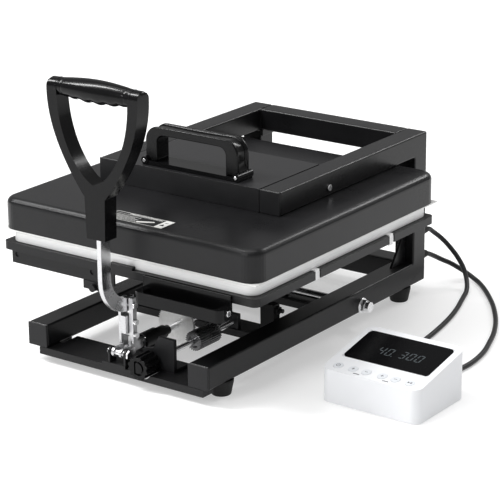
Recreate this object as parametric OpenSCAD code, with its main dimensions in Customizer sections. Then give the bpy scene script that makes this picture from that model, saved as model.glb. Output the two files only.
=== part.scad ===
// Tabletop drawer-type heat press with a toggle lever and a separate control box.
// Origin: on the table, centred between the four rubber feet. +X right, +Y to the rear, +Z up.
// Shown closed: lever upright, lower platen raised against the heating platen, drawer in.

/* [Frame] */
// Width over the two side frames
frame_w = 300; // [290:1:310]
// Side of the square tube
tube = 32; // [30:1:34]
// Length of the base tubes, front to rear
base_len = 522; // [510:1:530]
// Height of the top tubes above the table
frame_h = 243; // [240:1:248]
// Front end of the top tubes
top_front_y = -103; // [-110:1:-95]
// Wall of the square tube
tube_wall = 2; // [1.5:0.5:3]
// Height of the rubber feet
foot_h = 21; // [20:1:22]

/* [Head and platens] */
// Width of the head cover and of the tray
head_w = 420; // [410:1:430]
// Front face of the head cover
head_y0 = -239; // [-242:1:-236]
// Rear face of the head cover
head_y1 = 191; // [186:1:194]
// Underside of the head cover
head_z0 = 168; // [166:1:170]
// Inset of the platen and pad from the cover's sides
pad_inset = 8; // [6:1:14]
// Radius of the platen's corners
pad_r = 16; // [12:1:30]
// Top surface of the tray
tray_z = 149; // [148:0.5:151]

/* [Toggle and lift] */
// Height of the push rod and of the toggle's pivots
toggle_z = 39; // [38:0.5:40]
// Distance from the lever's pivot to the link's pivot
crank_r = 20; // [18:1:22]
// Length of the toggle link between its pins
link_len = 35; // [33:1:37]
// Length of a lift link between its pins
lift_len = 38.2; // [36:0.2:40]
// Forward lean of the lift links when closed, in degrees
lift_lean = 35; // [32:1:38]

/* [Pressure gears] */
// Teeth of the large gear on the push rod
gear_teeth = 60; // [60:1:60]
// Teeth of the long pinion
pinion_teeth = 26; // [26:1:26]
// Gear module
gear_mod = 1; // [1:0.1:1]

/* [Control box] */
// Width of the control box
box_w = 145; // [140:1:150]
// Depth of the control box
box_d = 114; // [110:1:118]
// Height at the front edge
box_h0 = 46; // [44:1:48]
// Height at the rear edge
box_h1 = 68; // [64:1:70]
// Diameter of both cables
cable_d = 7; // [6:0.5:7]

/* [Hidden] */
$fn = 48;

run = 0.05;                          // radial clearance of a running fit
half_w = frame_w / 2;                // outer face of a side frame
inner_x = half_w - tube;             // inner face of a side frame
y0 = -base_len / 2;                  // front of the base tubes
y1 = base_len / 2;                   // rear of the posts
base_top = foot_h + tube;            // top of the base tubes
top_z0 = frame_h - tube;             // underside of the top tubes
cap_t = 2.5;                         // thickness of an end cap's face

plate_z0 = foot_h - 10;              // underside of the cross plates
plate_t = 10;                        // thickness of the cross plates
plate_half = 131;                    // half length of the cross plates
foot_x = 136;                        // feet, left and right of the middle
foot_y = 214;                        // feet, in front of and behind the middle
foot_r = 16.5;                       // radius of a foot at its top

head_x = head_w / 2;
head_top = frame_h - tube;           // the top tubes rest on the head cover
head_r = 22;                         // vertical corners of the cover
head_edge = 9;                       // rounding of the cover's top edge
sheet = 2;                           // sheet metal of cover, tray and brackets
platen_z = 162.5;                    // underside of the heating platen
pad_top = platen_z - 0.3;            // pad surface, just clear of the platen
skirt_z = 138;                       // lower edge of the tray's skirt
tray_y0 = head_y0 + 1;
tray_y1 = 185;
strap_y = [-102, 75];                // straps along each side of the pad
strap_w = 10;

pivot_y = -254;                      // lever pivot
link_y = pivot_y + crank_r;          // pin between lever and toggle link
fork_y = link_y + link_len;          // pin between toggle link and push rod
rod_r = 4.5;                         // push rod
cross_r = 6;                         // rear cross shaft
rod_rear_y = -70;                    // cross pin that drives the carriage
lever_gap = 4;                       // half gap between the lever's cheeks
stroke = 14.6;                       // travel of the push rod

shaft_y = 95;                        // rear cross shaft
shaft_z = 30;                        // height of the lift links' lower pins
front_y = -44;                       // front lift shaft
lift_dy = lift_len * sin(lift_lean); // upper pins lie this far in front
lift_dz = lift_len * cos(lift_lean); // and this far above the lower pins
lift_drop = 20.1;                    // how far the carriage sinks
lift_x = 23;                         // middle of a lift link
cheek_x0 = 28;                       // carriage side plates
cheek_x1 = 32;
deck_z = 106;                        // carriage deck

gear_y = -130;                       // middle of the large gear
gear_t = 4;
pinion_z = 30.6;
centre_dist = gear_mod * (gear_teeth + pinion_teeth) / 2;
pinion_x = sqrt(pow(centre_dist, 2) - pow(toggle_z - pinion_z, 2));
mesh_angle = atan2(pinion_z - toggle_z, pinion_x);
pinion_y0 = -149;
pinion_y1 = -104;
shaft_r = 4;                         // pinion shaft

arm_y = -277.5;                      // middle of the upright arm
arm_d = 19;                          // arm, front to rear
arm_t = 7;                           // arm, side to side
bend_r = 45;                         // bend radius at the arm's middle line
bend_z = 146;                        // where the bend starts
stem_z = 203;                        // lower end of the handle's stem
grip_z = 393;                        // axis of the grip
handle_top = 404;                    // top of the handle's two arms
knob_y0 = -268;                      // front of the pressure knob
knob_y1 = -240;

box_x0 = 255;
box_y0 = -163;
box_r = 12;                          // rounded vertical edges
box_slope = atan2(box_h1 - box_h0, box_d);
key_x = [273, 295.5, 315, 338.5, 358, 379];
key_y = -149;
key_r = 6.5;
key_travel = 0.7;

// Routes of the two cables, from the gland on the right post to the gland on the box.
heater_route = [
    [134, 289, 87], [134, 299, 84], [135, 309, 77], [139, 318, 69], [146, 324, 60],
    [157, 326, 49], [168, 325, 38.5], [179, 322, 26], [188, 315, 15], [196, 304, 8],
    [204, 288, 4.5], [211, 269, 4], [219, 247, 4], [228, 222, 4], [238, 188, 4],
    [246, 152, 4], [252, 118, 4], [257, 84, 4], [265, 52, 4], [277, 26, 4], [291, 8, 5],
    [303, -4, 8], [309, -13, 11], [310, -21, 12]
];
sensor_route = [
    [134, 289, 50], [134, 301, 45], [136, 314, 38], [141, 325, 31], [149, 334, 25],
    [160, 340, 18], [172, 343, 11.5], [186, 341, 6], [202, 331, 4], [222, 311, 4],
    [243, 287, 4], [263, 262, 4], [281, 236, 4], [296, 212, 4], [309, 188, 4],
    [322, 160, 4], [333, 130, 4], [343, 100, 4], [349, 70, 4], [351, 42, 4],
    [349, 14, 5], [346, -8, 9], [345, -21, 12]
];

// ---- helpers ----
module block(lo, hi) translate(lo) cube(hi - lo);
module rod_x(x0, x1, y, z, r) translate([x0, y, z]) rotate([0, 90, 0]) cylinder(h = x1 - x0, r = r);
module rod_y(a, b, x, z, r) translate([x, a, z]) rotate([-90, 0, 0]) cylinder(h = b - a, r = r);
module rod_z(z0, z1, x, y, r) translate([x, y, z0]) cylinder(h = z1 - z0, r = r);
module both() { children(); mirror([1, 0, 0]) children(); }
module side_profile(x0, x1) translate([x0, 0, 0]) rotate([90, 0, 90]) linear_extrude(x1 - x0) children();
module front_profile(a, b) translate([0, b, 0]) rotate([90, 0, 0]) linear_extrude(b - a) children();
module rounded(x0, x1, a, b, r) {
    translate([x0 + r, a]) square([x1 - x0 - 2 * r, b - a]);
    translate([x0, a + r]) square([x1 - x0, b - a - 2 * r]);
    for (x = [x0 + r, x1 - r], y = [a + r, b - r]) translate([x, y]) circle(r);
}
module hex_x(x0, x1, y, z, r) translate([x0, y, z]) rotate([0, 90, 0]) cylinder(h = x1 - x0, r = r, $fn = 6);

function unit(v) = v / norm(v);
function spline(a, b, c, d, t) = 0.5 * (2 * b + (c - a) * t + (2 * a - 5 * b + 4 * c - d) * t * t
    + (3 * b - a - 3 * c + d) * t * t * t);
function at(p, i) = p[min(max(i, 0), len(p) - 1)];
function smooth(p, n) = [
    for (i = [0 : len(p) - 2], k = [0 : n - 1])
        spline(at(p, i - 1), p[i], p[i + 1], at(p, i + 2), k / n),
    p[len(p) - 1]
];
function tangent(p, i) = unit(at(p, i + 1) - at(p, i - 1));
module cable(route, r, n) {
    p = smooth(route, 3);
    last = len(p) - 1;
    ends = [for (i = [0 : last]) i == 0 || i == last ? [0, i == 0 ? 1 : -1, 0] : tangent(p, i)];
    dirs = [for (i = [0 : last]) i == last ? [0, -1, 0] : ends[i]];
    points = [for (i = [0 : last]) let (s = unit(cross(dirs[i], [0, 0, 1])), u = cross(s, dirs[i]))
        for (k = [0 : n - 1]) p[i] + r * (cos(360 * k / n) * s + sin(360 * k / n) * u)];
    sides = [for (i = [0 : last - 1], k = [0 : n - 1])
        [i * n + k, i * n + (k + 1) % n, (i + 1) * n + (k + 1) % n, (i + 1) * n + k]];
    polyhedron(points, concat(sides,
        [[for (k = [n - 1 : -1 : 0]) k]], [[for (k = [0 : n - 1]) last * n + k]]));
}

// Straight-flanked teeth, drawn flat around the origin with one tooth centred at angle `phase`.
function tooth(a, p, tip, root) = [
    [root * cos(a - 0.30 * p), root * sin(a - 0.30 * p)], [tip * cos(a - 0.12 * p), tip * sin(a - 0.12 * p)],
    [tip * cos(a + 0.12 * p), tip * sin(a + 0.12 * p)], [root * cos(a + 0.30 * p), root * sin(a + 0.30 * p)]
];
module gear_outline(teeth, phase) {
    pitch_r = gear_mod * teeth / 2;
    polygon([for (i = [0 : teeth - 1])
        each tooth(phase + 360 * i / teeth, 360 / teeth, pitch_r + 0.8, pitch_r - 1.2)]);
}

// ---- frame ----
module side_frame(x0) {
    difference() {
        side_profile(x0, x0 + tube) polygon([
            [y0 + cap_t, foot_h], [y1, foot_h], [y1, frame_h], [top_front_y + cap_t, frame_h],
            [top_front_y + cap_t, top_z0], [y1 - tube, top_z0], [y1 - tube, base_top], [y0 + cap_t, base_top]
        ]);
        side_profile(x0 + tube_wall, x0 + tube - tube_wall) polygon([
            [y0, foot_h + tube_wall], [y1 - tube_wall, foot_h + tube_wall],
            [y1 - tube_wall, frame_h - tube_wall], [top_front_y, frame_h - tube_wall],
            [top_front_y, top_z0 + tube_wall], [y1 - tube + tube_wall, top_z0 + tube_wall],
            [y1 - tube + tube_wall, base_top - tube_wall], [y0, base_top - tube_wall]
        ]);
        rod_x(x0 - 1, x0 + tube + 1, shaft_y, shaft_z, cross_r + run);
        rod_x(x0 - 1, x0 + tube + 1, 11, 222, 2.6);
        for (y = [-60, 130]) rod_z(top_z0 - 1, top_z0 + tube_wall + 1, x0 + tube / 2, y, 4.2);
        for (y = [-foot_y, foot_y]) rod_z(foot_h - 1, foot_h + tube_wall + 1, sign(x0) * foot_x, y, 3.2);
    }
}
module left_side_frame() color([0.09, 0.09, 0.10]) side_frame(-half_w);
module right_side_frame() color([0.09, 0.09, 0.10]) difference() {
    side_frame(inner_x);
    for (z = [87, 50]) rod_y(y1 - tube_wall - 1, y1 + 1, half_w - tube / 2, z, 4.05);
}
module rear_bars() color([0.09, 0.09, 0.10])
    for (z = [foot_h, top_z0]) difference() {
        block([-inner_x, y1 - tube, z], [inner_x, y1, z + tube]);
        block([-inner_x - 1, y1 - tube + tube_wall, z + tube_wall], [inner_x + 1, y1 - tube_wall, z + tube - tube_wall]);
    }
module frame_gussets() color([0.09, 0.09, 0.10]) both() {
    side_profile(inner_x + 14, inner_x + 18)
        polygon([[y1 - tube, base_top], [y1 - tube - 36, base_top], [y1 - tube, base_top + 50]]);
    side_profile(inner_x - 4, inner_x)
        polygon([[y1 - tube, top_z0], [y1, top_z0], [y1, top_z0 - 9], [y1 - tube, top_z0 - 9]]);
}
module cross_plate(a, b) difference() {
    block([-plate_half, a, plate_z0], [plate_half, b, foot_h]);
    block([-plate_half + 3, a + 3, plate_z0 - 1], [plate_half - 3, b - 3, foot_h - 3]);
}
module cross_plates() color([0.10, 0.10, 0.11]) {
    difference() {
        cross_plate(y0, y0 + 59);
        both() block([foot_x - foot_r - 5, -foot_y - foot_r - 2, plate_z0 - 1], [plate_half + 1, y0 + 60, foot_h + 1]);
        rod_y(y0 - 1, knob_y1 + 0.8, pinion_x, pinion_z, 17.4);
        for (x = [-18, 12], y = [-243, -208]) rod_z(plate_z0, foot_h + 1, x, y, 2.6);
    }
    block([plate_half - 1, y0, plate_z0], [142, y0 + 22, foot_h]);
    cross_plate(-62, -24);
    cross_plate(77, 117);
}
module tube_end_caps() color([0.05, 0.05, 0.05]) both() for (e = [[y0, foot_h], [top_front_y, top_z0]]) {
    block([inner_x, e[0], e[1]], [half_w, e[0] + cap_t, e[1] + tube]);
    block([inner_x + 3, e[0] + cap_t, e[1] + 3], [half_w - 3, e[0] + 14, e[1] + tube - 3]);
}
module rubber_feet() color([0.04, 0.04, 0.04]) both() for (y = [-foot_y, foot_y]) translate([foot_x, y, 0])
    rotate_extrude() polygon([[0, 6], [5, 6], [5, 0], [12, 0], [13, 1], [foot_r, foot_h - 3], [foot_r, foot_h],
        [3.2, foot_h], [3.2, 9], [0, 9]]);

// ---- cover and handle on top ----
module top_cover() color([0.11, 0.11, 0.12]) difference() {
    block([-117.5, top_front_y, top_z0 + 0.3], [117.5, 36, frame_h]);
    block([-115.5, top_front_y + 2, top_z0 - 1], [115.5, 34, frame_h - 2]);
    for (x = [-66.5, 66.5]) rod_z(frame_h - 3, frame_h + 1, x, -80, 2.6);
    both() rod_x(110, 120, 11, 222, 2.6);
}
module carry_handle() color([0.07, 0.07, 0.08]) difference() {
    front_profile(-93, -67) difference() {
        union() {
            translate([-76.5, frame_h + 6]) square([153, 26]);
            translate([-56.5, frame_h + 32]) square([113, 22]);
            for (x = [-56.5, 56.5]) translate([x, frame_h + 34]) circle(20);
        }
        translate([-57, frame_h]) square([114, 33]);
        translate([-46, frame_h + 32]) square([92, 11]);
        for (x = [-46, 46]) translate([x, frame_h + 32]) circle(11);
    }
    both() rod_z(frame_h + 1, frame_h + 13, 66.5, -80, 2.5);
}
module carry_handle_base() color([0.07, 0.07, 0.08]) difference() {
    union() {
        block([-80, -96, frame_h], [80, -65, frame_h + 6]);
        both() rod_y(-97, -64, 76, frame_h + 6, 5.5);
    }
    front_profile(-93.2, -66.8) translate([-77, frame_h + 6]) square([154, 8]);
    both() rod_z(frame_h - 1, frame_h + 7, 66.5, -80, 2.6);
    both() rod_y(-98, -93.5, 76, frame_h + 6, 2.55);
}
module cover_screws() color([0.8, 0.8, 0.8]) both() {
    rod_z(frame_h - 6, frame_h + 13, 66.5, -80, 2.5);
    rod_y(-98.2, -94, 76, frame_h + 6, 2.5);
    rod_x(half_w, half_w + 2.5, 11, 222, 4.5);
    rod_x(114, half_w, 11, 222, 2.5);
}

// ---- heating head ----
module cover_solid(x, a, b, z0, z1, r, edge) hull()
    for (sx = [-1, 1], y = [a + r, b - r]) translate([sx * (x - r), y, z0])
        rotate_extrude($fn = 32) {
            square([r, z1 - z0 - edge]);
            square([r - edge, z1 - z0]);
            translate([r - edge, z1 - z0 - edge]) circle(edge, $fn = 24);
        }
module heat_head_cover() color([0.10, 0.10, 0.11]) difference() {
    cover_solid(head_x, head_y0, head_y1, head_z0, head_top, head_r, head_edge);
    cover_solid(head_x - sheet, head_y0 + sheet, head_y1 - sheet, head_z0 - 1, head_top - sheet, head_r - sheet, head_edge - sheet);
    for (x = [-134, 134], y = [-60, 130]) rod_z(head_top - 4, head_top + 1, x, y, 4.2);
}
module head_base_plate() color([0.75, 0.75, 0.73]) difference() {
    block([-head_x, head_y0, head_z0 - 2], [head_x, head_y1, head_z0]);
    block([-186, head_y0 + 24, head_z0 - 3], [186, head_y1 - 24, head_z0 + 1]);
}
module head_insulation() color([0.85, 0.82, 0.70]) difference() {
    block([-185, head_y0 + 25, head_z0 + 7], [185, head_y1 - 25, head_z0 + 30]);
    for (x = [-134, 134], y = [-60, 130]) rod_z(head_z0 + 6, head_z0 + 31, x, y, 14);
    block([-20, 115, head_z0 + 6], [20, head_y1, head_z0 + 31]);
}
module heating_platen() color([0.80, 0.80, 0.80]) {
    translate([0, 0, platen_z]) linear_extrude(head_z0 - 2 - platen_z)
        rounded(-head_x + pad_inset, head_x - pad_inset, head_y0 + pad_inset, head_y1 - pad_inset, pad_r);
    block([-185, head_y0 + 25, head_z0 - 3], [185, head_y1 - 25, head_z0 + 6]);
}
module temperature_probe() color([0.7, 0.7, 0.7]) {
    block([-8, 135, head_z0 + 6], [8, 160, head_z0 + 12]);
    rod_z(head_z0 + 11, head_z0 + 22, 0, 147, 3);
}
module head_mounting_bolts() color([0.6, 0.6, 0.6])
    for (x = [-134, 134], y = [-60, 130]) {
        rod_z(head_z0 + 6, top_z0 + 12, x, y, 4);
        rod_z(head_z0 + 6, head_z0 + 12, x, y, 8);
        rod_z(top_z0 + tube_wall, top_z0 + tube_wall + 6, x, y, 7);
    }
// ---- lift linkage ----
module lift_shafts() color([0.85, 0.85, 0.87]) {
    rod_x(-half_w - 12, half_w + 12, shaft_y, shaft_z, cross_r);
    rod_x(-27, 27, front_y, shaft_z, 5);
}
module shaft_nuts() color([0.8, 0.8, 0.8]) both() difference() {
    union() {
        rod_x(half_w, half_w + 1.6, shaft_y, shaft_z, 11);
        hex_x(half_w + 1.6, half_w + 8, shaft_y, shaft_z, 9.5);
        rod_x(half_w + 8, half_w + 14, shaft_y, shaft_z, 7.5);
    }
    rod_x(half_w - 1, half_w + 12, shaft_y, shaft_z, cross_r);
}
module pivot_brackets() color([0.12, 0.12, 0.13]) {
    both() difference() {
        block([12, front_y - 9, foot_h], [17, front_y + 9, shaft_z + 9]);
        rod_x(11, 18, front_y, shaft_z, 5);
    }
    difference() {
        block([96, -72, base_top - 22], [inner_x, -58, base_top + 20]);
        rod_x(95, inner_x + 1, -64, base_top + 12, 3);
    }
    rod_x(92, inner_x + 10, -64, base_top + 12, 3);
    hex_x(inner_x, inner_x + 4, -64, base_top + 12, 6);
}
module lift_link(y, r) difference() {
    side_profile(lift_x - 3, lift_x + 3) {
        translate([y, shaft_z]) circle(8.5);
        translate([y - lift_dy, shaft_z + lift_dz]) circle(8);
        translate([y, shaft_z]) rotate(lift_lean) translate([-7.5, 0]) square([15, lift_len]);
    }
    rod_x(lift_x - 4, lift_x + 4, y, shaft_z, r + run);
    rod_x(lift_x - 4, lift_x + 4, y - lift_dy, shaft_z + lift_dz, 5 + run);
}
module front_lift_links() color([0.7, 0.7, 0.7]) both() lift_link(front_y, 5);
module rear_lift_links() color([0.7, 0.7, 0.7]) both() lift_link(shaft_y, cross_r);
module carriage_frame() color([0.10, 0.10, 0.11]) {
    difference() {
        union() {
            both() block([cheek_x0, -84, 52], [cheek_x1, 84, deck_z]);
            both() block([9, rod_rear_y - 10, 30], [13, rod_rear_y + 10, deck_z]);
            block([-140, -150, deck_z], [140, 145, deck_z + 3]);
        }
        both() block([8, rod_rear_y - 4.4, 29], [14, rod_rear_y + 6.2, toggle_z + lift_drop + 4.5]);
        for (y = [front_y, shaft_y]) both() rod_x(cheek_x0 - 1, cheek_x1 + 1, y - lift_dy, shaft_z + lift_dz, 5);
    }
}
module carriage_pins() color([0.8, 0.8, 0.8])
    for (y = [front_y, shaft_y]) both() {
        rod_x(lift_x - 4, cheek_x1 + 2, y - lift_dy, shaft_z + lift_dz, 5);
    }
module drawer_slide_outer() color([0.5, 0.5, 0.5]) both() {
    block([112, -150, deck_z + 3], [128, 145, deck_z + 5]);
    for (x = [112, 126]) block([x, -150, deck_z + 5], [x + 2, 145, 135]);
    block([114, -150, 133], [117, 145, 135]);
    block([123, -150, 133], [126, 145, 135]);
}
module drawer_slide_inner() color([0.6, 0.6, 0.6]) both() {
    block([114.6, -150, 112], [125.4, 145, 131]);
    block([118, -150, 131], [122, 145, tray_z - sheet]);
}

// ---- drawer ----
module tray() color([0.10, 0.10, 0.11]) {
    difference() {
        translate([0, 0, skirt_z]) linear_extrude(tray_z - skirt_z) rounded(-head_x, head_x, tray_y0, tray_y1, 9);
        translate([0, 0, skirt_z - 1]) linear_extrude(tray_z - skirt_z - sheet + 1)
            rounded(-head_x + sheet, head_x - sheet, tray_y0 + sheet, tray_y1 - sheet, 7);
        both() for (y = strap_y) block([head_x - 4, y - 6, skirt_z - 1], [head_x + 1, y + 6, tray_z + 1]);
        for (x = [52, 155]) rod_y(tray_y0 - 1, tray_y0 + sheet + 1, x, 142, 2.5);
    }
    block([-25, tray_y0, tray_z - 1], [13, tray_y0 + 7, tray_z + 4]);
}
module pressing_pad() color([0.88, 0.88, 0.86]) translate([0, 0, tray_z])
    linear_extrude(pad_top - tray_z) rounded(-head_x + pad_inset, head_x - pad_inset, head_y0 + pad_inset,
        tray_y1 - 4, pad_r);
module pad_straps() color([0.85, 0.85, 0.83]) both() for (y = strap_y) {
    block([head_x - pad_inset, y - strap_w / 2, tray_z], [head_x - 1.5, y + strap_w / 2, tray_z + 1.5]);
    block([head_x - 3.5, y - strap_w / 2, skirt_z - 3], [head_x - 1.5, y + strap_w / 2, tray_z]);
}
module tray_bracket() color([0.12, 0.12, 0.13]) {
    difference() {
        block([-202, -229, 117.5], [-25, -226, tray_z - sheet]);
        for (x = [-193, -62]) rod_y(-230, -227.5, x, 130, 3.4);
    }
    block([-202, -226, tray_z - sheet - 3], [-25, -205, tray_z - sheet]);
    block([-77, -230, 106], [-50, -224, 117.4]);
    rod_y(-236, -230, -58, 110, 5);
}
module pull_handle() color([0.09, 0.09, 0.10]) difference() {
    union() {
        translate([0, 0, 117]) linear_extrude(16.5) hull() {
            rounded(34, 173, -263, -245, 9);
            translate([34, -242]) square([139, 3]);
        }
        block([34, -242, 117], [173, tray_y0, 148]);
    }
    translate([0, 0, 120]) linear_extrude(20) hull() {
        rounded(45, 162, -260, -248, 6);
        translate([45, -244]) square([117, 2]);
    }
    for (x = [52, 155]) rod_y(-240, tray_y0 + 1, x, 142, 2.5);
    rod_x(167, 174, -248, 127, 2.5);
}
module pull_handle_screws() color([0.8, 0.8, 0.8]) {
    for (x = [52, 155]) {
        rod_y(-240, tray_y0 + sheet, x, 142, 2.5);
        rod_y(tray_y0 + sheet, tray_y0 + sheet + 2.5, x, 142, 4.2);
    }
    rod_x(167, 173, -248, 127, 2.5);
    rod_x(173, 175.2, -248, 127, 4);
}
// ---- toggle clamp ----
module clamp_base() color([0.06, 0.06, 0.06]) {
    difference() {
        union() {
            block([-23, y0, foot_h], [15.9, -202, foot_h + 4]);
            for (x = [-13.2, 12.8]) side_profile(x, x + 3) {
                translate([pivot_y, toggle_z]) circle(7);
                translate([pivot_y - 6, foot_h + 3]) square([13, toggle_z - foot_h - 3]);
            }
            rod_y(-206, -177.5, 0, toggle_z, 11);
            rod_y(-179, -160, 0, toggle_z, 9);
            rod_y(-161, -151, 0, toggle_z, 6.4);
            block([-9, -206, foot_h], [9, -162, foot_h + 9]);
        }
        rod_y(-207, -179.5, 0, toggle_z, 9.4);
        rod_y(-181, -150, 0, toggle_z, rod_r + run);
        rod_x(-17, 17, pivot_y, toggle_z, 4);
        for (x = [-18, 12], y = [-243, -208]) rod_z(foot_h - 1, foot_h + 5, x, y, 2.6);
    }
}
module clamp_bolts() color([0.8, 0.8, 0.8]) {
    rod_x(-14.7, 16, pivot_y, toggle_z, 4);
    rod_x(-15.2, -13.2, pivot_y, toggle_z, 5);
    hex_x(15.8, 19, pivot_y, toggle_z, 6.4);
    for (x = [-18, 12], y = [-243, -208]) {
        rod_z(foot_h - 9, foot_h + 4, x, y, 2.5);
        rod_z(foot_h + 4, foot_h + 7, x, y, 3.8);
    }
}
module shaft_bearing_plates() color([0.05, 0.05, 0.05]) {
    difference() {
        front_profile(-236, -230) polygon([[26, foot_h], [77, foot_h], [77, 66], [52, 66], [44, 50], [26, 45]]);
        rod_y(-237, -229, pinion_x, pinion_z, shaft_r + run);
    }
    block([30, -230, foot_h], [77, -204, foot_h + 4]);
    difference() {
        block([33.5, -60, foot_h], [50, -54, pinion_z + 12]);
        rod_y(-61, -53, pinion_x, pinion_z, shaft_r + run);
    }
}
module push_rod() color([0.85, 0.85, 0.87]) {
    rod_y(fork_y + 17, rod_rear_y, 0, toggle_z, rod_r);
    difference() {
        block([-6.2, fork_y - 7, toggle_z - 6.4], [6.2, fork_y + 19, toggle_z + 6.4]);
        block([-lever_gap + 0.2, fork_y - 8, toggle_z - 8], [lever_gap - 0.2, fork_y + 13, toggle_z + 8]);
    }
    rod_x(-6.8, 6.8, fork_y, toggle_z, 2.4);
    block([-7, rod_rear_y - 8, toggle_z - 7.5], [7, rod_rear_y + 8, toggle_z + 7.5]);
    rod_x(-16, 16, rod_rear_y, toggle_z, 4);
}
module drive_gear() color([0.72, 0.72, 0.72]) difference() {
    union() {
        front_profile(gear_y - gear_t / 2, gear_y + gear_t / 2)
            translate([0, toggle_z]) gear_outline(gear_teeth, mesh_angle + 180 / gear_teeth);
        rod_y(gear_y, gear_y + 14, 0, toggle_z, 7.5);
    }
    rod_y(gear_y - 5, gear_y + 15, 0, toggle_z, rod_r + run);
}
module pinion_shaft() color([0.85, 0.85, 0.87]) rod_y(-262, -50, pinion_x, pinion_z, shaft_r);
module pinion() color([0.35, 0.35, 0.36]) difference() {
    front_profile(pinion_y0, pinion_y1)
        translate([pinion_x, pinion_z]) gear_outline(pinion_teeth, mesh_angle + 180);
    rod_y(pinion_y0 - 1, pinion_y1 + 1, pinion_x, pinion_z, shaft_r);
    rod_y(pinion_y0 - 1, pinion_y0 + 3, pinion_x, pinion_z, 9);
}
module pressure_knob() color([0.10, 0.10, 0.10]) difference() {
    union() {
        front_profile(knob_y0, knob_y1) translate([pinion_x, pinion_z]) {
            circle(14.2);
            for (i = [0 : 11]) rotate(30 * i + 15) translate([13.8, 0]) circle(2.4);
        }
        rod_y(knob_y1 - 1, knob_y1 + 3, pinion_x, pinion_z, 9);
    }
    rod_y(-262, knob_y1 + 4, pinion_x, pinion_z, shaft_r);
    front_profile(knob_y0 - 1, knob_y0 + 3) translate([pinion_x, pinion_z]) difference() {
        circle(10);
        translate([-11, -11]) square([5.4, 22]);
        difference() {
            circle(7.2);
            translate([-8, -8]) square([4.6, 16]);
        }
    }
}
// ---- lever ----
module crank_outline() {
    translate([pivot_y, toggle_z]) circle(6.2);
    translate([link_y, toggle_z]) circle(7);
    translate([pivot_y, toggle_z - 6.2]) square([crank_r, 12.4]);
    translate([link_y - 5, toggle_z]) square([10, 12]);
}
module cheek_outline(front, low)
    translate([front, toggle_z + low]) square([link_y + 5 - front, 71 - low]);
module lever_plates() color([0.85, 0.85, 0.86]) difference() {
    union() {
        side_profile(-7.6, -3.8) {
            crank_outline();
            cheek_outline(link_y - 9, 8);
        }
        side_profile(5, 8.2) crank_outline();
        side_profile(5, 11.6) cheek_outline(link_y - 3, 9);
        block([-3.9, link_y - 9, 62], [3.9, link_y + 5, 86]);
    }
    rod_x(-10, 13, pivot_y, toggle_z, 4 + run);
    rod_x(-10, 13, link_y, toggle_z, 3.5);
    for (z = [59, 77]) rod_x(-10, 13, link_y + 1, z, 3);
    rod_x(-10, 13, link_y + 1, 100, 3);
}
module lever_arm() color([0.78, 0.78, 0.79]) difference() {
    side_profile(-arm_t / 2, arm_t / 2) {
        translate([arm_y - arm_d / 2, bend_z]) square([arm_d, stem_z + 60 - bend_z]);
        translate([arm_y + bend_r, bend_z]) intersection() {
            difference() {
                circle(bend_r + arm_d / 2);
                circle(bend_r - arm_d / 2);
            }
            translate([-80, -80]) square([80, 80]);
        }
        translate([arm_y + bend_r, bend_z - bend_r - arm_d / 2]) square([9, arm_d]);
    }
    rod_x(-5, 5, link_y + 1, 100, 3);
}
function arm_out(z) = 16.5 + 56.5 * sin(90 * pow(min(1, (z - 258) / 132), 0.92));
function arm_in(z) = 57 * sin(90 * pow(min(1, (z - 274) / 116), 0.68));
module d_handle() color([0.07, 0.07, 0.08]) {
    difference() {
        front_profile(-292, -269) difference() {
            polygon(concat(
                [[-15, stem_z], [-16.5, 258]],
                [for (z = [262 : 12 : 394]) [-arm_out(z), z]],
                [[-73, 399], [-70.5, handle_top], [70.5, handle_top], [73, 399]],
                [for (z = [394 : -12 : 262]) [arm_out(z), z]],
                [[16.5, 258], [15, stem_z]]));
            polygon(concat(
                [for (z = [275 : 10 : 385]) [-arm_in(z), z]],
                [[-57, handle_top + 1], [57, handle_top + 1]],
                [for (z = [385 : -10 : 275]) [arm_in(z), z]]));
        }
        block([-arm_t / 2, arm_y - arm_d / 2, stem_z - 1], [arm_t / 2, arm_y + arm_d / 2, stem_z + 60]);
    }
    translate([-59, -280.5, grip_z]) rotate([0, 90, 0]) rotate_extrude()
        polygon(concat([[0, 0]], [for (i = [0 : 12]) [10.9 + 4.6 * sin(15 * i), 118 * i / 12]], [[0, 118]]));
}
module lever_bolts() color([0.85, 0.85, 0.85]) {
    rod_x(-8.4, 9.2, link_y, toggle_z, 3.5);
    for (z = [59, 77]) {
        rod_x(-10, 14, link_y + 1, z, 3);
        hex_x(-11, -7.6, link_y + 1, z, 5.2);
        rod_x(11.6, 15, link_y + 1, z, 4.2);
    }
    rod_x(-9.5, 12.6, link_y + 1, 100, 3);
    hex_x(11.6, 13.8, link_y + 1, 100, 5);
}
module toggle_link() color([0.8, 0.8, 0.82]) difference() {
    side_profile(-3.5, 3.5) {
        for (y = [link_y, fork_y]) translate([y, toggle_z]) circle(6.2);
        translate([link_y, toggle_z - 6.2]) square([link_len, 12.4]);
    }
    rod_x(-4, 4, link_y, toggle_z, 3.5 + run);
    for (y = [fork_y - 3.6, fork_y + 0.2]) rod_x(-4, 4, y, toggle_z, 4.6);
    block([-4, fork_y - 3.6, toggle_z - 4.6], [4, fork_y + 0.2, toggle_z + 4.6]);
}
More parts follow.
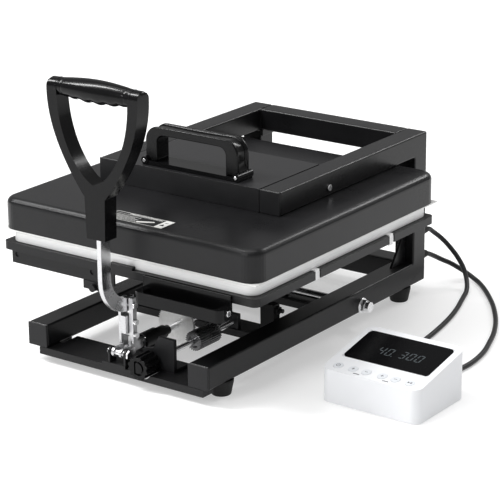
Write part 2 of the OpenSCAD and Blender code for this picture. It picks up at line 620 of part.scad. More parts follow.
// ---- control box ----
module on_slope() translate([0, box_y0, box_h0]) rotate([box_slope, 0, 0]) translate([0, -box_y0, 0]) children();
module box_solid(inset, z0, drop) difference() {
    translate([0, 0, z0]) linear_extrude(box_h1 + 10)
        rounded(box_x0 + inset, box_x0 + box_w - inset, box_y0 + inset, box_y0 + box_d - inset, box_r - inset);
    on_slope() block([box_x0 - 10, box_y0 - 40, -drop], [box_x0 + box_w + 10, box_y0 + box_d + 60, 60]);
}
module control_box_base() color([0.9, 0.9, 0.9]) difference() {
    translate([0, 0, 2]) linear_extrude(3) rounded(box_x0 + 2.2, box_x0 + box_w - 2.2, box_y0 + 2.2, box_y0 + box_d - 2.2, box_r - 2);
    for (i = [0 : 3]) rod_z(1, 6, box_x0 + 60 + 8 * i, box_y0 + 60, 1.5);
}
module key_cut(x) on_slope() translate([x, key_y, -6]) cylinder(h = 8, r = key_r + 0.2);
module control_box_cover() color([0.93, 0.93, 0.93]) difference() {
    box_solid(0, 1.5, 0);
    box_solid(2, 0, 2.4);
    for (x = key_x) key_cut(x);
    on_slope() block([263.8, -127.2, -1.2], [391.2, -56.8, 2]);
    for (x = [310, 345]) rod_y(box_y0 + box_d - 3, box_y0 + box_d + 1, x, 12, 4.05);
    block([364, box_y0 + box_d - 3, 7], [386, box_y0 + box_d + 1, 25]);
}
module circuit_board() color([0.1, 0.35, 0.2]) on_slope() block([box_x0 + 12, -152, -14], [box_x0 + box_w - 12, -65, -12.4]);
module display_panel() color([0.02, 0.02, 0.03]) on_slope() translate([0, 0, -1.2])
    linear_extrude(1.7) rounded(264, 391, -127, -57, 8);
module box_feet() color([0.2, 0.2, 0.2])
    for (x = [box_x0 + 18, box_x0 + box_w - 18], y = [box_y0 + 18, box_y0 + box_d - 18]) rod_z(0, 2, x, y, 6);
module key(i) color([0.9, 0.9, 0.9]) on_slope() translate([key_x[i], key_y, 0]) {
    translate([0, 0, -2.6]) cylinder(h = 3.1, r = key_r);
    translate([0, 0, -8]) cylinder(h = 5.5, r = 2);
}
module key_power() key(0);
module key_time_up() key(1);
module key_time_down() key(2);
module key_temp_up() key(3);
module key_temp_down() key(4);
module key_start() key(5);
module gland(x, y, z, dir) translate([x, y, z]) rotate([-90 * dir, 0, 0]) rotate_extrude()
    polygon([[cable_d / 2, 28], [5, 28], [6.5, 8], [8.5, 8], [8.5, 0], [4, 0], [4, -4], [0, -4], [0, 28]]);
module cable_glands() color([0.08, 0.08, 0.08]) {
    for (z = [87, 50]) gland(half_w - tube / 2, y1, z, 1);
    for (x = [310, 345]) gland(x, box_y0 + box_d, 12, 1);
}
module power_inlet() color([0.08, 0.08, 0.08]) translate([375, box_y0 + box_d, 16]) difference() {
    block([-11, -20, -9], [11, 1.5, 9]);
    block([-9, -14, -7], [9, 2, 7]);
}
module heater_cable() color([0.06, 0.06, 0.06]) cable(heater_route, cable_d / 2, 8);
module sensor_cable() color([0.06, 0.06, 0.06]) cable(sensor_route, cable_d / 2, 8);

left_side_frame();
right_side_frame();
rear_bars();
frame_gussets();
cross_plates();
tube_end_caps();
rubber_feet();
top_cover();
carry_handle();
carry_handle_base();
cover_screws();
heat_head_cover();
head_base_plate();
head_insulation();
heating_platen();
temperature_probe();
head_mounting_bolts();
lift_shafts();
shaft_nuts();
pivot_brackets();
front_lift_links();
rear_lift_links();
carriage_frame();
carriage_pins();
drawer_slide_outer();
drawer_slide_inner();
tray();
pressing_pad();
pad_straps();
tray_bracket();
pull_handle();
pull_handle_screws();
clamp_base();
clamp_bolts();
shaft_bearing_plates();
push_rod();
drive_gear();
pinion_shaft();
pinion();
pressure_knob();
lever_plates();
lever_arm();
d_handle();
lever_bolts();
toggle_link();
control_box_base();
control_box_cover();
circuit_board();
display_panel();
box_feet();
key_power();
key_time_up();
key_time_down();
key_temp_up();
key_temp_down();
key_start();
cable_glands();
power_inlet();
heater_cable();
sensor_cable();
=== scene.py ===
"""Looks of a tabletop drawer heat press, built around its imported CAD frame."""

import math

import bmesh
import bpy
from mathutils import Matrix, Vector


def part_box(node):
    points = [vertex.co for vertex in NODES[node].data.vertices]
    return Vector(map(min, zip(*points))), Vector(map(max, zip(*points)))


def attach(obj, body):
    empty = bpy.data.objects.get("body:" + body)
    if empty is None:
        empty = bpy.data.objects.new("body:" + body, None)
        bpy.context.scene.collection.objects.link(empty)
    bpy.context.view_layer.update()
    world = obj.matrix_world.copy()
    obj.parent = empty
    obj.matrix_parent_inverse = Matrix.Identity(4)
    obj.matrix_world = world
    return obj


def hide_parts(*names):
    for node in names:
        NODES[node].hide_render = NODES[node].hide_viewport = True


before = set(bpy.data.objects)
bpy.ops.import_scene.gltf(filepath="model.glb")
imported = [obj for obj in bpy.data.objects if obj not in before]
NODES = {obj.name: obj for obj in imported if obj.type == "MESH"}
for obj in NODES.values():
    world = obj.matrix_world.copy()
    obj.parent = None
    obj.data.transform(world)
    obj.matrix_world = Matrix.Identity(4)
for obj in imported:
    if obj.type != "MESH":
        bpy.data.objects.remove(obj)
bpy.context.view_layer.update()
MM = 0.001
scene = bpy.context.scene


# ---------------------------------------------------------------- camera
def make_camera():
    yaw, down, roll = math.radians(36.077), math.radians(18.548), math.radians(-0.536)
    fwd = Vector((-math.sin(yaw) * math.cos(down), math.cos(yaw) * math.cos(down), -math.sin(down)))
    right = Vector((math.cos(yaw), math.sin(yaw), 0))
    below = fwd.cross(right)
    c, s = math.cos(roll), math.sin(roll)
    x_axis = c * right - s * below
    y_axis = -(s * right + c * below)
    data = bpy.data.cameras.new("camera")
    data.lens, data.sensor_width = 152.77, 36.0
    data.clip_start, data.clip_end = 0.05, 60.0
    cam = bpy.data.objects.new("camera", data)
    scene.collection.objects.link(cam)
    m = Matrix((x_axis, y_axis, -fwd)).transposed().to_4x4()
    m.translation = Vector((1.6537, -2.2318, 1.0409))
    cam.matrix_world = m
    scene.camera = cam


make_camera()


# ---------------------------------------------------------------- mesh helpers
def new_object(name, verts, faces, smooth=True):
    mesh = bpy.data.meshes.new(name)
    mesh.from_pydata([Vector(v) * MM for v in verts], [], faces)
    bm = bmesh.new()
    bm.from_mesh(mesh)
    bmesh.ops.remove_doubles(bm, verts=bm.verts, dist=1e-6)
    bmesh.ops.recalc_face_normals(bm, faces=bm.faces)
    bm.to_mesh(mesh)
    bm.free()
    mesh.polygons.foreach_set("use_smooth", [smooth] * len(mesh.polygons))
    obj = bpy.data.objects.new(name, mesh)
    scene.collection.objects.link(obj)
    return obj


def bevel(obj, width, segments=3, angle=32, weld=False):
    if weld:
        w = obj.modifiers.new("weld", "WELD")
        w.merge_threshold = 2e-6
        d = obj.modifiers.new("planar", "DECIMATE")
        d.decimate_type = "DISSOLVE"
        d.angle_limit = math.radians(0.6)
    if width > 0:
        b = obj.modifiers.new("bevel", "BEVEL")
        b.width = width * MM
        b.segments = segments
        b.limit_method = "ANGLE"
        b.angle_limit = math.radians(angle)
        b.use_clamp_overlap = True
        b.harden_normals = False
        b.miter_outer = "MITER_ARC"
    n = obj.modifiers.new("normals", "WEIGHTED_NORMAL")
    n.keep_sharp = True
    n.weight = 80
    return obj


def place(obj, body, material, replaces=()):
    obj.data.materials.clear()
    obj.data.materials.append(material)
    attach(obj, body)
    if replaces:
        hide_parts(*replaces)
    return obj


def rounded_rect(x0, x1, y0, y1, r, n=6):
    """Outline points, anticlockwise."""
    pts = []
    corners = ((x1 - r, y1 - r, 0), (x0 + r, y1 - r, 90), (x0 + r, y0 + r, 180), (x1 - r, y0 + r, 270))
    for cx, cy, a0 in corners:
        for i in range(n + 1):
            a = math.radians(a0 + 90 * i / n)
            pts.append((cx + r * math.cos(a), cy + r * math.sin(a)))
    return pts


def skin(rings, caps=True):
    """Faces that join rings of equal length, and cap both ends."""
    n = len(rings[0])
    verts = [p for ring in rings for p in ring]
    faces = []
    for i in range(len(rings) - 1):
        for k in range(n):
            a, b = i * n + k, i * n + (k + 1) % n
            faces.append((a, b, b + n, a + n))
    if caps:
        faces.append(tuple(range(n - 1, -1, -1)))
        faces.append(tuple(range((len(rings) - 1) * n, len(rings) * n)))
    return verts, faces


def lathe(name, profile, centre, axis, n=40):
    """Turned solid: profile holds (radius, distance along axis) pairs."""
    axis = Vector(axis).normalized()
    side = axis.orthogonal().normalized()
    up = axis.cross(side)
    rings = []
    for r, h in profile:
        c = Vector(centre) + axis * h
        turn = [math.tau * k / n for k in range(n)]
        rings.append([c + side * (r * math.cos(a)) + up * (r * math.sin(a)) for a in turn])
    verts, faces = skin(rings)
    return new_object(name, verts, faces)


# ---------------------------------------------------------------- materials
def link(tree, a, b):
    tree.links.new(a, b)


def base_material(name, colour, rough, metal=0.0):
    m = bpy.data.materials.new(name)
    m.use_nodes = True
    t = m.node_tree
    p = t.nodes["Principled BSDF"]
    p.inputs["Base Color"].default_value = (*colour, 1)
    p.inputs["Roughness"].default_value = rough
    p.inputs["Metallic"].default_value = metal
    coord = t.nodes.new("ShaderNodeTexCoord")
    return m, t, p, coord.outputs["Object"]


def noise_node(t, vector, scale, detail=4.0, rough=0.55, stretch=None):
    if stretch:
        mp = t.nodes.new("ShaderNodeMapping")
        mp.inputs["Scale"].default_value = stretch
        link(t, vector, mp.inputs["Vector"])
        vector = mp.outputs["Vector"]
    n = t.nodes.new("ShaderNodeTexNoise")
    n.inputs["Scale"].default_value = scale
    n.inputs["Detail"].default_value = detail
    n.inputs["Roughness"].default_value = rough
    link(t, vector, n.inputs["Vector"])
    return n.outputs["Fac"]


def ramp(t, fac, stops):
    r = t.nodes.new("ShaderNodeValToRGB")
    e = r.color_ramp.elements
    while len(e) < len(stops):
        e.new(0.5)
    for el, (pos, col) in zip(e, stops):
        el.position = pos
        el.color = (*col, 1)
    link(t, fac, r.inputs["Fac"])
    return r.outputs["Color"]


def spread(t, fac, lo, hi, a=0.3, b=0.7):
    m = t.nodes.new("ShaderNodeMapRange")
    m.inputs["From Min"].default_value = a
    m.inputs["From Max"].default_value = b
    m.inputs["To Min"].default_value = lo
    m.inputs["To Max"].default_value = hi
    link(t, fac, m.inputs["Value"])
    return m.outputs["Result"]


def bump(t, height, p, strength, distance):
    b = t.nodes.new("ShaderNodeBump")
    b.inputs["Strength"].default_value = strength
    b.inputs["Distance"].default_value = distance
    link(t, height, b.inputs["Height"])
    link(t, b.outputs["Normal"], p.inputs["Normal"])


def mix_colour(t, fac, a, b):
    m = t.nodes.new("ShaderNodeMix")
    m.data_type = "RGBA"
    m.clamp_factor = True
    link(t, fac, m.inputs["Factor"])
    for socket, value in ((m.inputs["A"], a), (m.inputs["B"], b)):
        if isinstance(value, tuple):
            socket.default_value = (*value, 1)
        else:
            link(t, value, socket)
    return m.outputs["Result"]


def math_node(t, op, a, b):
    m = t.nodes.new("ShaderNodeMath")
    m.operation = op
    for socket, value in ((m.inputs[0], a), (m.inputs[1], b)):
        if isinstance(value, (int, float)):
            socket.default_value = value
        else:
            link(t, value, socket)
    return m.outputs["Value"]


def coated(name, colour, rough=0.38, grain=900.0, depth=0.00006, vary=0.25, specular=0.26):
    """Powder coat, plastic or print: fine orange peel and soft blotches."""
    m, t, p, co = base_material(name, colour, rough)
    p.inputs["Specular IOR Level"].default_value = specular
    fine = noise_node(t, co, grain, 3.0)
    wide = noise_node(t, co, 9.0, 5.0, 0.6)
    lo = tuple(c * (1 - vary) for c in colour)
    hi = tuple(min(1.0, c * (1 + vary)) for c in colour)
    link(t, ramp(t, wide, [(0.3, lo), (0.7, hi)]), p.inputs["Base Color"])
    both = math_node(t, "ADD", math_node(t, "MULTIPLY", fine, 0.35), math_node(t, "MULTIPLY", wide, 0.65))
    link(t, spread(t, both, max(0.05, rough - 0.07), min(1.0, rough + 0.09)), p.inputs["Roughness"])
    bump(t, fine, p, 0.5, depth)
    return m


def metal(name, colour, rough=0.25, stretch=(1, 1, 1), scale=600.0, depth=0.00004, vary=0.12, spots=0.0):
    """Plated, machined or brushed metal; stretch sets which way the brushing runs."""
    m, t, p, co = base_material(name, colour, rough, 1.0)
    lines = noise_node(t, co, scale, 4.0, 0.6, stretch)
    wide = noise_node(t, co, 14.0, 5.0, 0.65)
    lo = tuple(c * (1 - vary) for c in colour)
    hi = tuple(min(1.0, c * (1 + vary)) for c in colour)
    col = ramp(t, lines, [(0.3, lo), (0.7, hi)])
    if spots:
        dark = spread(t, noise_node(t, co, 45.0, 6.0, 0.7), 0.0, spots, 0.56, 0.74)
        col = mix_colour(t, dark, col, tuple(c * 0.35 for c in colour))
    link(t, col, p.inputs["Base Color"])
    link(t, spread(t, wide, max(0.04, rough - 0.08), min(1.0, rough + 0.12)), p.inputs["Roughness"])
    bump(t, lines, p, 0.35, depth)
    return m


BLACK = (0.0062, 0.0062, 0.0068)
mat = {
    "powder": coated("powder_coat_black", BLACK, 0.30),
    "powder_head": coated("powder_coat_head", (0.0075, 0.0075, 0.0082), 0.30, 1400.0, 0.00004),
    "plate": coated("black_plate", (0.0075, 0.0075, 0.008), 0.42),
    # top cover: the black powder coat with a lighter base colour, a painted sheen that brightens its faces in place
    # of a reflection on its front
    "cover": coated("powder_coat_cover_painted_sheen", (0.014, 0.014, 0.015), 0.34, 1400.0, 0.00004),
    "gloss": coated("black_gloss_grip", (0.0035, 0.0035, 0.0038), 0.15, 300.0, 0.00002, 0.2, 0.17),
    "plastic": coated("black_plastic", (0.010, 0.010, 0.011), 0.45, 1200.0, 0.00005),
    "rubber": coated("black_rubber", (0.011, 0.011, 0.011), 0.62, 700.0, 0.00010),
    "cable": coated("cable_sheath", (0.011, 0.011, 0.012), 0.40, 500.0, 0.00006),
    "white": coated("white_plastic", (0.80, 0.81, 0.83), 0.42, 1500.0, 0.00004, 0.02),
    "key": coated("key_plastic", (0.70, 0.72, 0.75), 0.38, 1500.0, 0.00003, 0.02),
    "pale": coated("pale_plate", (0.72, 0.72, 0.71), 0.40, 700.0, 0.00004, 0.05),
    "insulation": coated("insulation_wool", (0.66, 0.60, 0.44), 0.9, 300.0, 0.0008, 0.2),
    "board": coated("board_green", (0.02, 0.12, 0.06), 0.35, 300.0, 0.0001, 0.3),
    "display": coated("display_black", (0.0025, 0.0025, 0.003), 0.16, 200.0, 0.00001, 0.1, 0.08),
    "bright": metal("bright_steel", (0.86, 0.86, 0.87), 0.20, scale=250.0, depth=0.00001),
    "zinc": metal("zinc_steel", (0.60, 0.60, 0.61), 0.30, (1, 1, 6), 220.0, 0.00003, 0.14, 0.25),
    "dark_steel": metal("oiled_steel", (0.20, 0.20, 0.21), 0.30, (1, 6, 1), 300.0, 0.00003, 0.2, 0.4),
    "lever": metal("brushed_lever_steel", (0.62, 0.62, 0.63), 0.24, (9, 9, 1), 260.0, 0.00004, 0.16, 0.2),
    "gear": metal("cut_gear_steel", (0.92, 0.92, 0.91), 0.42, (1, 8, 1), 180.0, 0.00003, 0.06),
    # pinion: steel with a dark base colour and darker blotches
    "dark_gear": metal("dark_gear_steel", (0.26, 0.26, 0.265), 0.24, (1, 8, 1), 180.0, 0.00003, 0.2, 0.3),
    "aluminium": metal("platen_aluminium", (0.86, 0.86, 0.86), 0.48, (1, 12, 12), 160.0, 0.00004, 0.1),
}


def pad_material():
    m, t, p, co = base_material("silicone_pad", (0.74, 0.75, 0.75), 0.55)
    streak = noise_node(t, co, 40.0, 6.0, 0.7, (0.6, 0.6, 30))
    fine = noise_node(t, co, 900.0, 3.0)
    link(t, ramp(t, streak, [(0.32, (0.80, 0.81, 0.81)), (0.55, (0.90, 0.90, 0.90))]), p.inputs["Base Color"])
    link(t, spread(t, fine, 0.48, 0.66), p.inputs["Roughness"])
    bump(t, math_node(t, "ADD", streak, math_node(t, "MULTIPLY", fine, 0.3)), p, 0.4, 0.0002)
    return m


mat["pad"] = pad_material()
mat["print"] = coated("label_print", (0.62, 0.62, 0.60), 0.5, 400.0, 0.00001, 0.06)
mat["icon"] = coated("icon_print", (0.045, 0.045, 0.05), 0.5, 400.0, 0.00001, 0.1)
mat["segment"] = coated("display_segment", (0.055, 0.065, 0.07), 0.35, 400.0, 0.00001, 0.1)

# ---------------------------------------------------------------- cables
HEATER = [
    (134, 289, 87), (134, 299, 84), (135, 309, 77), (139, 318, 69), (146, 324, 60),
    (157, 326, 49), (168, 325, 38.5), (179, 322, 26), (188, 315, 15), (196, 304, 8),
    (204, 288, 4.5), (211, 269, 4), (219, 247, 4), (228, 222, 4), (238, 188, 4),
    (246, 152, 4), (252, 118, 4), (257, 84, 4), (265, 52, 4), (277, 26, 4), (291, 8, 5),
    (303, -4, 8), (309, -13, 11), (310, -21, 12),
]
SENSOR = [
    (134, 289, 50), (134, 301, 45), (136, 314, 38), (141, 325, 31), (149, 334, 25),
    (160, 340, 18), (172, 343, 11.5), (186, 341, 6), (202, 331, 4), (222, 311, 4),
    (243, 287, 4), (263, 262, 4), (281, 236, 4), (296, 212, 4), (309, 188, 4),
    (322, 160, 4), (333, 130, 4), (343, 100, 4), (349, 70, 4), (351, 42, 4),
    (349, 14, 5), (346, -8, 9), (345, -21, 12),
]


def cable(name, route, node):
    curve = bpy.data.curves.new(name, "CURVE")
    curve.dimensions = "3D"
    curve.bevel_depth = 3.5 * MM
    curve.bevel_resolution = 7
    curve.resolution_u = 8
    curve.use_fill_caps = True
    s = curve.splines.new("BEZIER")
    s.bezier_points.add(len(route) - 1)
    pts = [Vector(p) * MM for p in route]
    for i, b in enumerate(s.bezier_points):
        a, c = pts[max(i - 1, 0)], pts[min(i + 1, len(pts) - 1)]
        step = (c - a) / 6
        b.handle_left_type = b.handle_right_type = "FREE"
        b.co = pts[i]
        b.handle_left, b.handle_right = pts[i] - step, pts[i] + step
    obj = bpy.data.objects.new(name, curve)
    scene.collection.objects.link(obj)
    obj.data.materials.append(mat["cable"])
    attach(obj, "frame")
    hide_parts(node)


cable("heater_lead", HEATER, "heater_cable")
cable("sensor_lead", SENSOR, "sensor_cable")

# ---------------------------------------------------------------- square-tube frame
TUBE_EDGE = 2.6    # rounding of the square tubes, mm
WELD_R = 1.3       # radius of a weld line, mm


def lo_hi(node):
    """Lower and upper corner of a CAD node, in mm."""
    lo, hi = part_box(node)
    return lo / MM, hi / MM


def prism(name, outline, x0, x1, width):
    """Outline in Y and Z swept from x0 to x1, with its edges rounded."""
    verts, faces = skin([[(x, y, z) for y, z in outline] for x in (x0, x1)])
    return bevel(new_object(name, verts, faces), width, 4)


def side_frame(node):
    """C-shaped side: base tube, rear post and top tube in one outline."""
    lo, hi = lo_hi(node)
    side = hi.x - lo.x
    cap = lo.y - lo_hi("tube_end_caps")[0].y
    top_front = lo_hi("top_cover")[0].y + cap
    outline = [(lo.y, lo.z), (hi.y, lo.z), (hi.y, hi.z), (top_front, hi.z), (top_front, hi.z - side),
               (hi.y - side, hi.z - side), (hi.y - side, lo.z + side), (lo.y, lo.z + side)]
    tube = prism(node + "_tube", outline, lo.x, hi.x, TUBE_EDGE)
    place(tube, "frame", mat["powder"], [node])


for node in ("left_side_frame", "right_side_frame"):
    side_frame(node)


def rear_bars():
    """The two square tubes between the side frames, with a weld line at each end."""
    lo, hi = lo_hi("rear_bars")
    depth = hi.y - lo.y
    y_mid = (lo.y + hi.y) / 2
    for name, z in (("rear_bar_low", lo.z), ("rear_bar_top", hi.z - depth)):
        outline = [(lo.y, z), (hi.y, z), (hi.y, z + depth), (lo.y, z + depth)]
        tube = prism(name, outline, lo.x, hi.x, TUBE_EDGE)
        place(tube, "frame", mat["powder"], ["rear_bars"])
    ring = rounded_rect(lo.y + 0.6, hi.y - 0.6, 0, depth - 1.2, 3.0)
    for name, x in (("weld_left", lo.x), ("weld_right", hi.x)):
        for z in (lo.z + 0.6, hi.z - depth + 0.6):
            rings = []
            for k in range(6):
                a = math.tau * k / 6
                out = WELD_R * math.sin(a)
                rings.append([(x + WELD_R * math.cos(a), y + (out if y > y_mid else -out), z + w) for y, w in ring])
            verts, faces = skin(rings + [rings[0]], caps=False)
            weld = new_object("%s_%d" % (name, z), verts, faces)
            place(weld, "frame", mat["powder"])


rear_bars()


# ---------------------------------------------------------------- lever handle
def handle_half_width(z, inner):
    """Half the width of the handle's outline at height z, or of its opening."""
    if inner:
        return 57 * math.sin(math.pi / 2 * min(1.0, max(0.0, z - 274) / 116) ** 0.68)
    return 16.5 + 56.5 * math.sin(math.pi / 2 * min(1.0, max(0.0, z - 258) / 132) ** 0.92)


def lever_handle():
    """D-shaped handle: one piece of stem and arms, a grip with finger waves, and two bands."""
    lo = lo_hi("d_handle")[0]
    y_mid, half = -280.5, 11.5      # middle and half depth, front to rear
    axis_z, top = 393.0, 404.0      # axis of the grip, and top of the arms
    outer = [(15.0, lo.z), (16.5, 258.0)] + [(handle_half_width(z, False), float(z)) for z in range(262, 395, 4)]
    outer += [(73.0, 398.0), (72.5, 401.5), (70.5, top)]
    inner = [(57.0, top), (57.0, 391.0)] + [(handle_half_width(z, True), float(z)) for z in range(386, 276, -5)]
    inner += [(handle_half_width(275.2, True), 275.2), (0.0, 273.6)]
    right = outer + inner
    left = [(-x, z) for x, z in reversed(right[:-1])]
    rings = []
    for k in range(13):
        a = math.pi * k / 12
        y = y_mid - half * math.cos(a)
        cap = axis_z + (top - axis_z) * math.sin(a)
        rings.append([(x, y, min(z, cap - 0.002 * (top - z))) for x, z in right + left])
    verts, faces = skin(rings)
    arms = new_object("handle_arms", verts, faces)
    bevel(arms, 2.6, 4, 50)
    place(arms, "press_lever", mat["gloss"], ["d_handle"])

    rings, n = [], 48
    for i, x in enumerate(range(-59, 60)):
        r = 10.9 + 4.6 * math.sin(math.pi * i / 118)
        for edge in (-50, 50):
            r -= 0.5 * math.exp(-((x - edge) / 0.8) ** 2)
        ring = []
        for k in range(n):
            a = math.tau * k / n
            under = max(0.0, -math.sin(a)) ** 2
            finger = 0.5 + 0.5 * math.cos(math.tau * (x + 2) / 21.0)
            inside = max(0.0, min(1.0, (46 - abs(x)) / 8))
            rr = r - 2.0 * under * finger * inside
            ring.append((x, y_mid + rr * math.cos(a), axis_z + rr * math.sin(a)))
        rings.append(ring)
    verts, faces = skin(rings)
    place(new_object("handle_grip", verts, faces), "press_lever", mat["gloss"])
    for side in (-1, 1):
        band = lathe("handle_band_%s" % ("left" if side < 0 else "right"),
                     [(11.2, -0.5), (11.9, 0), (11.9, 0.9), (11.2, 1.4)],
                     (side * 59.4 - 0.45, y_mid, axis_z - 0.3), (1, 0, 0))
        place(band, "press_lever", mat["gloss"])


lever_handle()


def carry_handle():
    """Arched handle with a shallow channel round its outer side, between two rims."""
    lo, hi = lo_hi("carry_handle")
    leg, top_t = 19.5, 11.0         # width of a leg, and height of the top bar
    r_out, r_in = 20.0, 11.0        # rounding outside and inside
    out_x, in_x = hi.x, hi.x - leg
    out_z, in_z = hi.z, hi.z - top_t
    pairs = []
    for k in range(7):
        t = k / 6
        pairs.append(((out_x, lo.z + (out_z - r_out - lo.z) * t), (in_x, lo.z + (in_z - r_in - lo.z) * t)))
    for k in range(1, 13):
        a = math.radians(90 * k / 12)
        pairs.append(((out_x - r_out + r_out * math.cos(a), out_z - r_out + r_out * math.sin(a)),
                      (in_x - r_in + r_in * math.cos(a), in_z - r_in + r_in * math.sin(a))))
    for k in range(1, 5):
        t = 1 - k / 4
        pairs.append((((out_x - r_out) * t, out_z), ((in_x - r_in) * t, in_z)))
    pairs += [((-o[0], o[1]), (-i[0], i[1])) for o, i in reversed(pairs[:-1])]
    half = (hi.y - lo.y) / 2
    y_mid = (hi.y + lo.y) / 2
    rim, depth, edge = 4.6, 3.2, 1.5  # width of a rim, depth of the channel, rounding
    rings = []
    for n, (o, i) in enumerate(pairs):
        end = min(n, len(pairs) - 1 - n) / 2.0
        cut = depth * max(0.0, min(1.0, end - 0.5))
        d = Vector((o[0] - i[0], o[1] - i[1]))
        size = d.length
        d /= size
        front = [(-half + edge, 0), (-half + 0.4, 0.4), (-half, edge),
                 (-half, size - edge), (-half + 0.45, size - 0.45), (-half + edge, size),
                 (-half + rim - 0.8, size), (-half + rim, size - min(0.8, cut)), (-half + rim + 0.6, size - cut)]
        section = front + [(-v, w) for v, w in reversed(front)]
        rings.append([(i[0] + d.x * w, y_mid + v, i[1] + d.y * w) for v, w in section])
    verts, faces = skin(rings)
    handle = new_object("carry_arch", verts, faces)
    n = handle.modifiers.new("normals", "WEIGHTED_NORMAL")
    n.weight = 80
    place(handle, "frame", mat["gloss"], ["carry_handle"])


carry_handle()


# ---------------------------------------------------------------- printed marks: label, display, key icons
def flat_mark(name, outlines, lift, at, material, body="frame"):
    """Thin raised shapes; at(u, v, w) gives the row point of a place on the surface they lie on."""
    verts, faces = [], []
    for shape in outlines:
        base = len(verts)
        n = len(shape)
        verts += [at(u, v, 0.0) for u, v in shape] + [at(u, v, lift) for u, v in shape]
        faces.append(tuple(base + n + k for k in range(n)))
        faces += [(base + k, base + (k + 1) % n, base + n + (k + 1) % n, base + n + k) for k in range(n)]
    return place(new_object(name, verts, faces, False), body, material)


def bar(x0, x1, y0, y1):
    return [(x0, y0), (x1, y0), (x1, y1), (x0, y1)]


def frame_bars(x0, x1, y0, y1, t):
    """Four bars round a rectangle."""
    return [bar(x0, x1, y0, y0 + t), bar(x0, x1, y1 - t, y1),
            bar(x0, x0 + t, y0 + t, y1 - t), bar(x1 - t, x1, y0 + t, y1 - t)]


def head_label():
    """A generic printed plate: border, ruled lines, a picture block and a pale end box, with no lettering."""
    top = lo_hi("heat_head_cover")[1].z
    x0, x1, y0, y1 = -41.0, 55.0, -229.0, -197.0

    def at(u, v, w):
        return (u, v, top + w)

    flat_mark("label_ground", [rounded_rect(x0, x1, y0, y1, 1.0, 3)], 0.12, at, mat["plastic"])
    marks = frame_bars(x0 + 1, x1 - 1, y0 + 1, y1 - 1, 0.9)
    marks += [bar(x0 + 3, x1 - 16, y1 - 7.6, y1 - 7.0)]
    for i, short in enumerate((0, 3, 1, 9, 2)):
        marks.append(bar(x0 + 4, x1 - 46 - short, y0 + 5.0 + 3.6 * i, y0 + 5.9 + 3.6 * i))
    marks.append(bar(x0 + 24, x1 - 18, y1 - 5.2, y1 - 3.4))
    marks.append([(12, y0 + 4), (24, y0 + 10), (33, y0 + 15), (31, y0 + 18), (19, y0 + 13), (8, y0 + 8)])
    marks.append(bar(x1 - 14, x1 - 2, y0 + 2, y1 - 2))
    flat_mark("label_print", marks, 0.22, at, mat["print"])
    triangle = [(x1 - 11.5, y0 + 10), (x1 - 4.5, y0 + 10), (x1 - 8, y0 + 17)]
    flat_mark("label_mark", [triangle, bar(x1 - 11, x1 - 5, y0 + 21, y0 + 22.4)],
              0.3, at, mat["plastic"])


head_label()

KEYS = ("key_power", "key_time_up", "key_time_down", "key_temp_up", "key_temp_down", "key_start")
SEGMENTS = {"0": "abcdef", "3": "abcdg", "4": "bcfg"}


def digit(char, x, y, w, h, t):
    """Seven-segment figure with its lower left corner at x, y."""
    mid = y + h / 2
    where = {"a": (x + t, x + w - t, y + h - t, y + h), "g": (x + t, x + w - t, mid - t / 2, mid + t / 2),
             "d": (x + t, x + w - t, y, y + t),
             "f": (x, x + t, mid + t / 3, y + h - t / 3), "b": (x + w - t, x + w, mid + t / 3, y + h - t / 3),
             "e": (x, x + t, y + t / 3, mid - t / 3), "c": (x + w - t, x + w, y + t / 3, mid - t / 3)}
    shapes = []
    for seg in SEGMENTS[char]:
        a, b, c, d = where[seg]
        if seg in "agd":
            m = (c + d) / 2
            one = [(a, m), (a + t / 2, c), (b - t / 2, c), (b, m), (b - t / 2, d), (a + t / 2, d)]
        else:
            m = (a + b) / 2
            one = [(m, c), (b, c + t / 2), (b, d - t / 2), (m, d), (a, d - t / 2), (a, c + t / 2)]
        shapes.append([(u + 0.10 * (v - y), v) for u, v in one])
    return shapes


def key_icon(index):
    """Outlines of one key's mark: power, plus or minus, start."""
    if index == 0:
        shapes = []
        for k in range(20):
            a0, a1 = math.radians(115 + k * 15.5), math.radians(115 + (k + 1) * 15.5)
            corners = ((2.9, a0), (2.9, a1), (2.2, a1), (2.2, a0))
            shapes.append([(r * math.cos(a), r * math.sin(a)) for r, a in corners])
        return shapes + [bar(-0.35, 0.35, 0.4, 3.4)]
    if index == 5:
        return [[(-3, -1.8), (0, 0), (-3, 1.8)], bar(0.8, 1.6, -1.8, 1.8), bar(2.2, 3.0, -1.8, 1.8)]
    minus = [bar(-2.1, 2.1, -0.4, 0.4)]
    return minus + [bar(-0.4, 0.4, 0.4, 2.1), bar(-0.4, 0.4, -2.1, -0.4)] if index in (1, 3) else minus


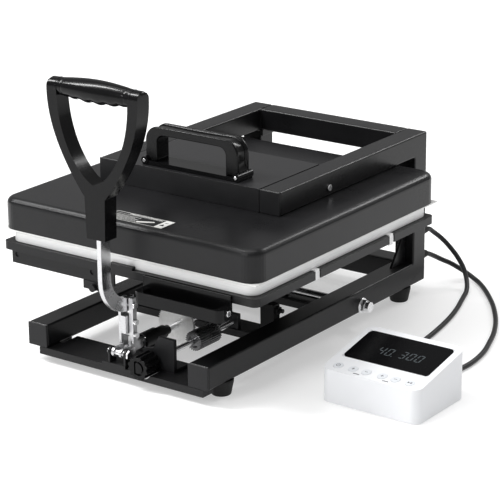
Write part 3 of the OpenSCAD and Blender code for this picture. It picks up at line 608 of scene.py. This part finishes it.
def control_marks():
    """Figures on the display, a mark on each key, and a bar under each pair of keys."""
    lo, hi = lo_hi("control_box_cover")
    h0, h1 = 46.0, 68.0             # height of the box in front and at the rear
    slope = math.atan2(h1 - h0, hi.y - lo.y)

    def at(u, v, w):
        along = v - lo.y
        return (u, lo.y + along * math.cos(slope) - w * math.sin(slope),
                h0 + along * math.sin(slope) + w * math.cos(slope))

    def on_glass(u, v, w):
        return at(u, v, w + 0.5)

    figures = digit("4", 300, -105, 8.5, 17, 1.7) + digit("0", 312, -105, 8.5, 17, 1.7)
    figures += [bar(322.4, 324.2, -105, -103.2)]
    for i, c in enumerate("300"):
        figures += digit(c, 331.5 + 12 * i, -104, 8.5, 17, 1.7)
    flat_mark("display_figures", figures, 0.06, on_glass, mat["segment"])
    icons = []
    for i, key in enumerate(KEYS):
        a, b = lo_hi(key)
        x = (a.x + b.x) / 2
        y = lo.y + ((a.y + b.y) / 2 - lo.y) / math.cos(slope)

        def on_key(u, v, w, dx=x, dy=y):
            return at(dx + u, dy + v, 0.5 + w)

        flat_mark("icon_%s" % key, key_icon(i), 0.06, on_key, mat["icon"], key)
        icons.append((x, y))
    for i in (1, 3):
        mid, y = (icons[i][0] + icons[i + 1][0]) / 2, icons[i][1]
        under = bar(mid - 4.5, mid + 4.5, y - 9.6, y - 8.2)
        flat_mark("pair_mark_%d" % i, [under], 0.06, at, mat["icon"])


control_marks()

# ---------------------------------------------------------------- CAD nodes that stay, with rounded edges
CARRIED = {
    "frame_gussets": ("powder", 0.6), "cross_plates": ("plate", 1.2), "tube_end_caps": ("plastic", 1.2),
    "rubber_feet": ("rubber", 0.5), "top_cover": ("cover", 1.2),
    "carry_handle_base": ("gloss", 1.2), "cover_screws": ("bright", 0.5), "heat_head_cover": ("powder_head", 0.0),
    "head_base_plate": ("pale", 0.4), "head_insulation": ("insulation", 1.0), "heating_platen": ("aluminium", 0.6),
    "temperature_probe": ("bright", 0.4), "head_mounting_bolts": ("zinc", 0.4), "lift_shafts": ("bright", 0.8),
    "shaft_nuts": ("bright", 0.4), "pivot_brackets": ("plate", 0.5), "front_lift_links": ("zinc", 0.6),
    "rear_lift_links": ("zinc", 0.6), "carriage_frame": ("plate", 0.6), "carriage_pins": ("zinc", 0.5),
    "drawer_slide_outer": ("zinc", 0.3), "drawer_slide_inner": ("zinc", 0.3), "tray": ("powder", 0.7),
    "pressing_pad": ("pad", 0.8), "pad_straps": ("pad", 0.4), "tray_bracket": ("plate", 0.6),
    "pull_handle": ("gloss", 1.2), "pull_handle_screws": ("bright", 0.6), "clamp_base": ("plate", 0.8),
    "clamp_bolts": ("bright", 0.6), "shaft_bearing_plates": ("plastic", 0.8), "push_rod": ("bright", 0.5),
    "drive_gear": ("gear", 0.15), "pinion_shaft": ("bright", 0.5), "pinion": ("dark_gear", 0.15),
    "pressure_knob": ("gloss", 1.4), "lever_plates": ("zinc", 0.6), "lever_arm": ("lever", 0.8),
    "lever_bolts": ("bright", 0.6), "toggle_link": ("zinc", 0.5),
    "control_box_base": ("white", 0.5), "control_box_cover": ("white", 1.2), "circuit_board": ("board", 0.1),
    "display_panel": ("display", 0.4), "box_feet": ("rubber", 0.3), "key_power": ("key", 0.5),
    "key_time_up": ("key", 0.5), "key_time_down": ("key", 0.5), "key_temp_up": ("key", 0.5),
    "key_temp_down": ("key", 0.5), "key_start": ("key", 0.5), "cable_glands": ("rubber", 0.4),
    "power_inlet": ("plastic", 0.5),
}
for name, (material, width) in CARRIED.items():
    o = NODES[name]
    o.data.materials.clear()
    o.data.materials.append(mat[material])
    bevel(o, width, 3, weld=True)


# ---------------------------------------------------------------- floor and light
def stage():
    """Pale floor that glows a little, so that it stays white round the machine."""
    verts = [(-15000, -15000, 0), (15000, -15000, 0), (15000, 15000, 0), (-15000, 15000, 0)]
    floor = new_object("floor", verts, [(0, 1, 2, 3)], False)
    m, t, p, co = base_material("floor_pale", (0.62, 0.62, 0.62), 0.6)
    p.inputs["Emission Color"].default_value = (1, 1, 1, 1)
    p.inputs["Emission Strength"].default_value = 0.42
    link(t, spread(t, noise_node(t, co, 2.0, 3.0), 0.55, 0.68), p.inputs["Roughness"])
    p.inputs["Specular IOR Level"].default_value = 0.2
    floor.data.materials.append(m)


def area(name, location, target, size, power):
    data = bpy.data.lights.new(name, "AREA")
    data.shape = "RECTANGLE"
    data.size, data.size_y = size
    data.energy = power
    o = bpy.data.objects.new(name, data)
    scene.collection.objects.link(o)
    o.location = location
    o.rotation_mode = "QUATERNION"
    o.rotation_quaternion = (Vector(target) - Vector(location)).to_track_quat("-Z", "Y")


stage()
world = bpy.data.worlds.new("studio")
world.use_nodes = True
world.node_tree.nodes["Background"].inputs["Color"].default_value = (1.0, 1.0, 1.0, 1)
world.node_tree.nodes["Background"].inputs["Strength"].default_value = 0.36
scene.world = world
sun = bpy.data.lights.new("overhead", "SUN")
sun.energy = 1.7
sun.angle = math.radians(60)
sun_obj = bpy.data.objects.new("overhead", sun)
scene.collection.objects.link(sun_obj)
sun_obj.rotation_euler = (math.radians(8), math.radians(-10), 0)
area("left", (-1.57, -0.95, 2.2), (0, 0, 0.15), (0.35, 1.3), 62)
area("front", (-0.5, -2.7, 1.5), (0.05, 0, 0.2), (0.5, 0.5), 18)
area("back", (0.75, 2.7, 2.1), (0, 0, 0.2), (2.0, 0.3), 30)
scene.view_settings.view_transform = "Standard"
scene.view_settings.look = "None"
